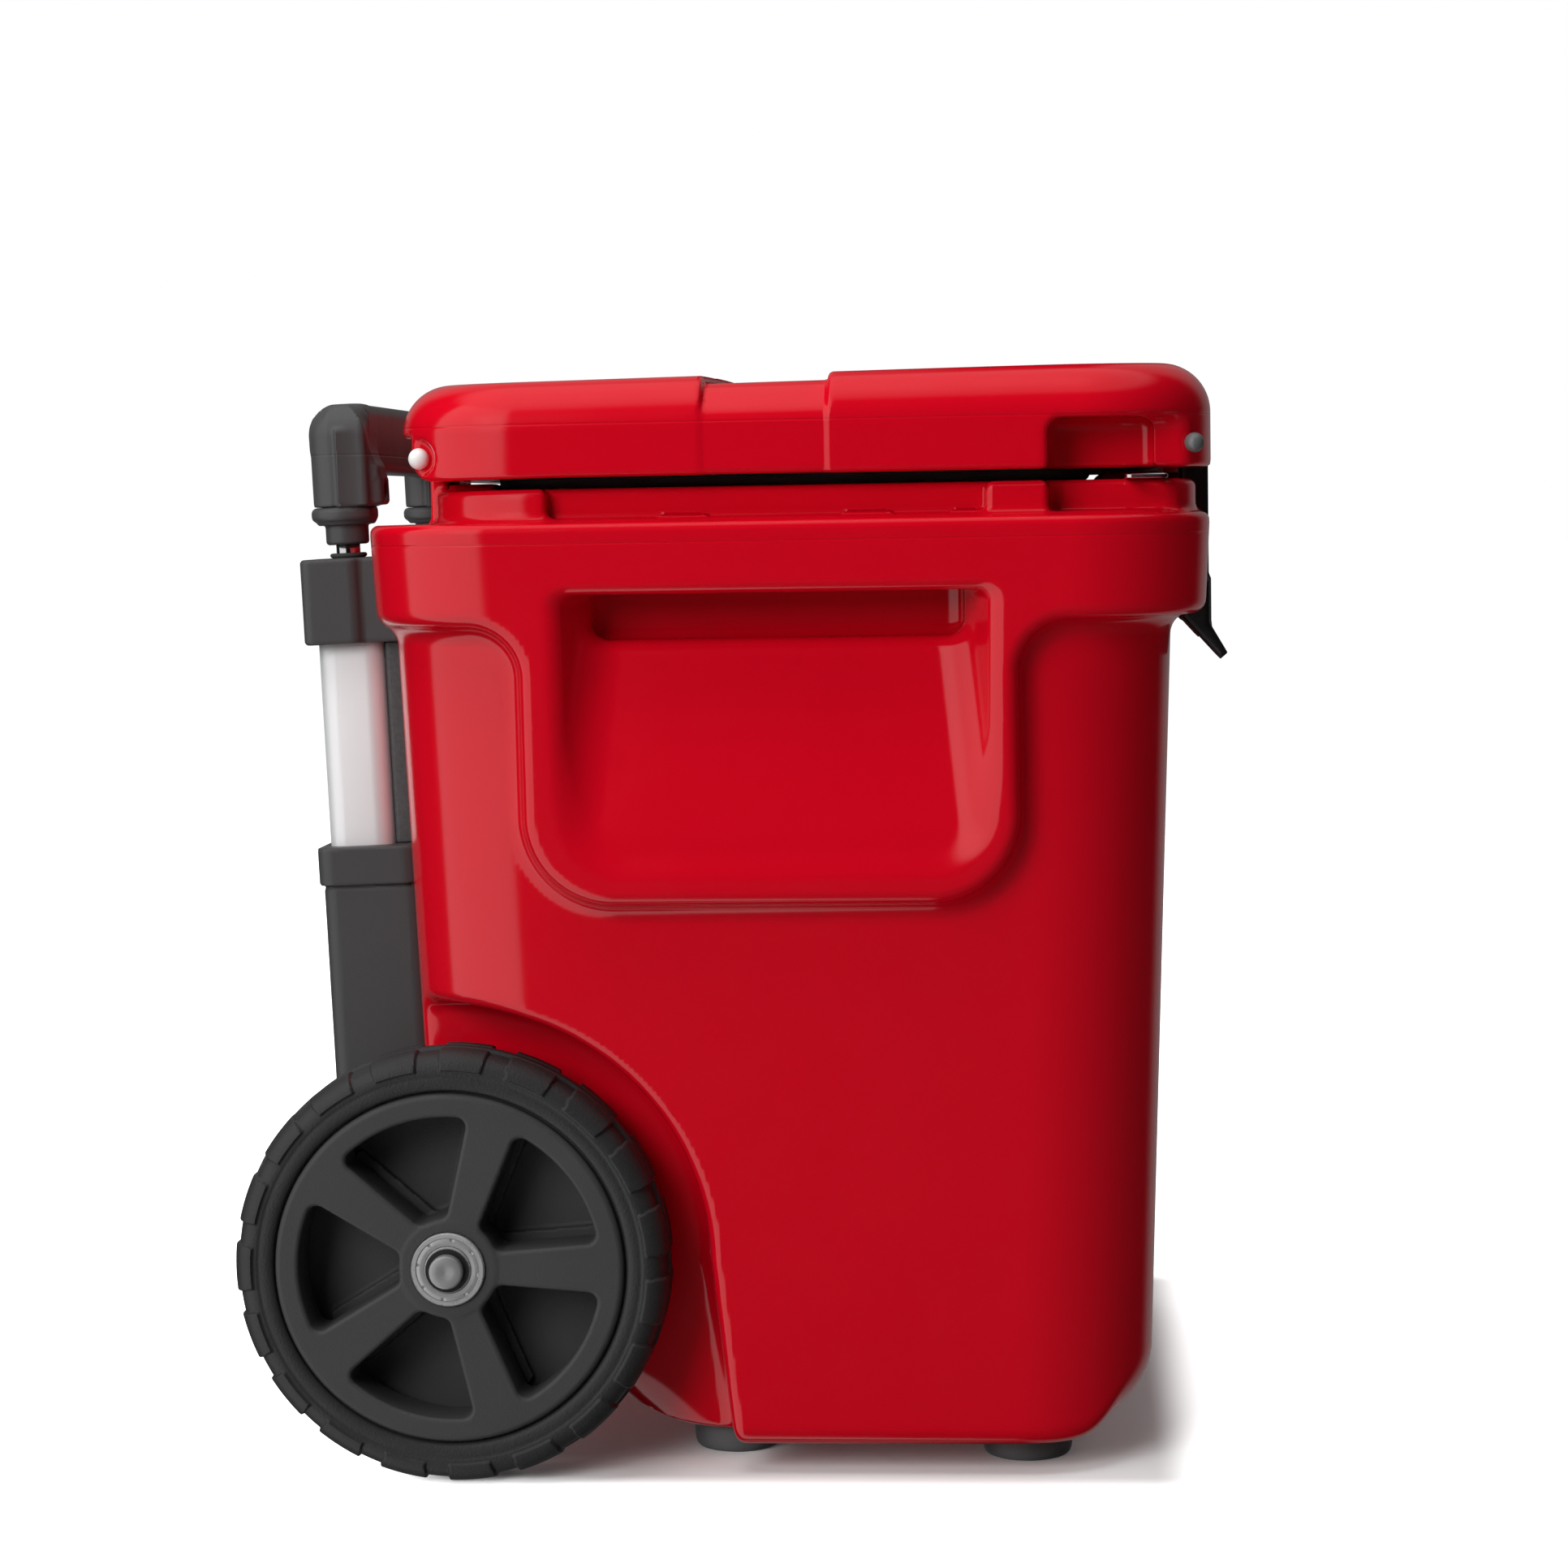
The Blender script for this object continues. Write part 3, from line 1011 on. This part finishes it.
def grip_field(x, y, z):
    px, py, pz = post_frame(x, y, z)
    back = step((py + 8) / 15)
    r = 2.6 + 10 * back
    qx, qy = np.abs(px) - 14.6 + r, np.abs(py - 0.3) - 13.6 + r
    plan = np.minimum(np.maximum(qx, qy), 0) + np.hypot(np.maximum(qx, 0), np.maximum(qy, 0)) - r
    elbow = r_inter(plan, pz - 470.4, 5 + 9.5 * np.maximum(back, step((px + 2) / 14)))
    elbow = r_inter(elbow, 424.65 - pz, 1.0)
    # Web on the lid side, with a sloping flank and a fillet under the bar
    taper = (np.abs(px) - 13.2 + (-py - 8) * 0.42) * 0.92
    front = (-py - 19.0 + 0.36 * np.maximum(pz - 436, 0)) * 0.94
    web = r_inter(r_inter(taper, front, 2), np.abs(pz - 442) - 17.35, 2)
    web = np.maximum(web, py)
    elbow = r_union(elbow, web, 2)
    rb = 5 + 7.5 * back
    qz = np.abs(pz - 455.05) - 15.35 + rb
    qy = np.abs(py - 0.3) - 13.6 + rb
    bar = np.minimum(np.maximum(qz, qy), 0) + np.hypot(np.maximum(qz, 0), np.maximum(qy, 0)) - rb
    bar = np.maximum(bar, px - 4)
    d = r_union(elbow, bar, 1.2 + 7 * step((-py - 7) / 7) * step((447 - pz) / 6))
    hole = r_inter(np.hypot(px, pz - 431) - 4.3, py + 14, 0.5)
    return r_cut(d, hole, 0.7)


skin = surface(grip_field, (-POST_X - 18, 158, 416), (0, 200, 475), 1.3, half=True)
piece("grip_shaped", mesh_of("grip", *skin), grip_plastic, "handle_grip", ("grip",))
head = turn(screw_head(2.0, 3.4, 1.4), at_post(431, -1, -14.4) @ Matrix.Rotation(math.radians(90), 4, "X"))
piece("grip_screw_heads", mesh_of("grip_screws", *both(head), sharp=35), black_steel, "handle_grip",
      ("grip_screws",))

# CAD nodes that stay: small parts with the right shape already
for node, mat in (("axle_sleeve", sleeve_plastic), ("axle_washers", sleeve_plastic),
                  ("axle_clips", black_steel), ("mid_glides", glide_plastic),
                  ("rod_glides", glide_plastic)):
    NODES[node].data.materials.clear()
    NODES[node].data.materials.append(mat)

# ------------------------------------------------------------------ floor, light, camera

# Metres: half the floor's side, and the middle and half sides of the footprint with the dark shadow
FLOOR_HALF, FOOT_MID, FOOT_HALF = 30.0, (0.0, -0.03, 0.0), (0.19, 0.15, 0.0)

floor_mesh = bpy.data.meshes.new("floor")
corners = [(a * FLOOR_HALF, b * FLOOR_HALF, 0) for a, b in ((-1, -1), (1, -1), (1, 1), (-1, 1))]
floor_mesh.from_pydata(corners, [], [(0, 1, 2, 3)])
floor = bpy.data.objects.new("floor", floor_mesh)
bpy.context.scene.collection.objects.link(floor)
floor.visible_glossy = False
floor_mat = bpy.data.materials.new("floor_paper")
floor_mat.use_nodes = True
t = Nodes(floor_mat.node_tree)
coord = t.add("ShaderNodeTexCoord").outputs["Object"]
paper = t.mix(t.noise(coord, 3.0), (0.90, 0.90, 0.90, 1), (0.93, 0.93, 0.93, 1))
direct = t.add("ShaderNodeLightPath").outputs["Is Camera Ray"]
paper = t.mix(direct, (0.40, 0.40, 0.40, 1), paper)
lit = t.add("ShaderNodeBsdfDiffuse", {"Color": paper})
beside = t.add("ShaderNodeVectorMath", {0: coord, 1: FOOT_MID}, operation="SUBTRACT").outputs[0]
beside = t.add("ShaderNodeVectorMath", {0: beside}, operation="ABSOLUTE").outputs[0]
beside = t.add("ShaderNodeVectorMath", {0: beside, 1: FOOT_HALF}, operation="SUBTRACT").outputs[0]
beside = t.add("ShaderNodeVectorMath", {0: beside, 1: (0.0, 0.0, 0.0)}, operation="MAXIMUM").outputs[0]
away = t.add("ShaderNodeVectorMath", {0: beside}, operation="LENGTH").outputs["Value"]
glow = t.add("ShaderNodeEmission", {"Color": (1, 1, 1, 1),
                                    "Strength": t.math("MULTIPLY", direct,
                                                       t.ramp(away, 0.0, 0.03, 0.03, 0.95))})
total = t.add("ShaderNodeAddShader")
t.tree.links.new(lit.outputs[0], total.inputs[0])
t.tree.links.new(glow.outputs[0], total.inputs[1])
t.add("ShaderNodeOutputMaterial", {"Surface": total.outputs[0]})
floor_mesh.materials.append(floor_mat)

scene = bpy.context.scene
scene.view_settings.view_transform = "Standard"
scene.view_settings.look = "None"
world = bpy.data.worlds.new("studio")
scene.world = world
world.use_nodes = True
t = Nodes(world.node_tree)
way = t.add("ShaderNodeSeparateXYZ", {"Vector": t.add("ShaderNodeTexCoord").outputs["Generated"]})
dx, dy, dz = way.outputs
# Azimuth from -X towards +Y, in degrees
az = t.math("MULTIPLY", t.math("ARCTAN2", dy, t.math("MULTIPLY", dx, -1)), 57.2958)
wall = t.math("MULTIPLY", t.ramp(az, 13, 20), t.ramp(az, 86, 90, 1, 0))
wall = t.math("MULTIPLY", wall, t.ramp(dz, 0.75, 0.9, 1, 0))
off = t.math("ABSOLUTE", az)
far = t.math("MULTIPLY", t.ramp(off, 130, 150), t.ramp(off, 172, 179, 1, 0))
far = t.math("MULTIPLY", far, 0.2)
roof = t.math("MULTIPLY", t.ramp(dz, 0.72, 0.86), 0.5)
gloss = t.math("ADD", t.math("MAXIMUM", t.math("MAXIMUM", wall, far), roof), 0.004)
soft = t.math("ADD", t.ramp(dz, -0.2, 1.0, 0.01, 0.10), t.math("MULTIPLY", t.ramp(dy, -1.0, 1.0), 0.05))
path = t.add("ShaderNodeLightPath")
level = t.math("ADD", t.math("MULTIPLY", path.outputs["Is Glossy Ray"], gloss),
               t.math("MULTIPLY", t.math("SUBTRACT", 1.0, path.outputs["Is Glossy Ray"]), soft))
level = t.math("MAXIMUM", level, path.outputs["Is Camera Ray"])
back = t.add("ShaderNodeBackground", {"Color": (1, 1, 1, 1), "Strength": level})
t.add("ShaderNodeOutputWorld", {"Surface": back.outputs[0]})

lo, hi = CAD_BOX
centre = (lo + hi) / 2


def softbox(name, place, width, height, power):
    """An area light at a place from the middle of the chest, in metres, turned towards it."""
    light = bpy.data.lights.new(name, "AREA")
    light.shape, light.size, light.size_y, light.energy = "RECTANGLE", width, height, power
    ob = bpy.data.objects.new(name, light)
    bpy.context.scene.collection.objects.link(ob)
    ob.location = centre + Vector(place)
    ob.rotation_mode = "QUATERNION"
    ob.rotation_quaternion = (-Vector(place)).to_track_quat("-Z", "Y")
    ob.visible_glossy = False
    ob.visible_camera = False


softbox("key", (-2.2, 1.2, 1.1), 1.4, 1.4, 48)
softbox("top", (-0.35, 0.6, 2.4), 1.8, 1.8, 48)
softbox("far_side", (2.2, 0.9, 1.0), 1.5, 1.5, 18)
softbox("front_fill", (1.9, -1.8, 0.9), 1.4, 1.4, 14)

# Camera: its place in metres, its yaw, pitch and roll in degrees from +X, and its lens in millimetres
CAMERA_AT, CAMERA_TURN, CAMERA_LENS = (-1.6859, -0.1455, 0.4202), (4.594, 4.496, -1.018), 80.55
cam = bpy.data.objects.new("camera", bpy.data.cameras.new("camera"))
scene.collection.objects.link(cam)
scene.camera = cam
yaw, pitch, roll = (math.radians(a) for a in CAMERA_TURN)
look = Vector((math.cos(yaw) * math.cos(pitch), math.sin(yaw) * math.cos(pitch), -math.sin(pitch)))
right = Vector((math.sin(yaw), -math.cos(yaw), 0))
up = right.cross(look)
r2 = math.cos(roll) * right + math.sin(roll) * up
u2 = -math.sin(roll) * right + math.cos(roll) * up
m = Matrix((r2, u2, -look)).transposed().to_4x4()
m.translation = CAMERA_AT
cam.matrix_world = m
cam.data.sensor_width = 36
cam.data.lens = CAMERA_LENS
cam.data.clip_start, cam.data.clip_end = 0.05, 100
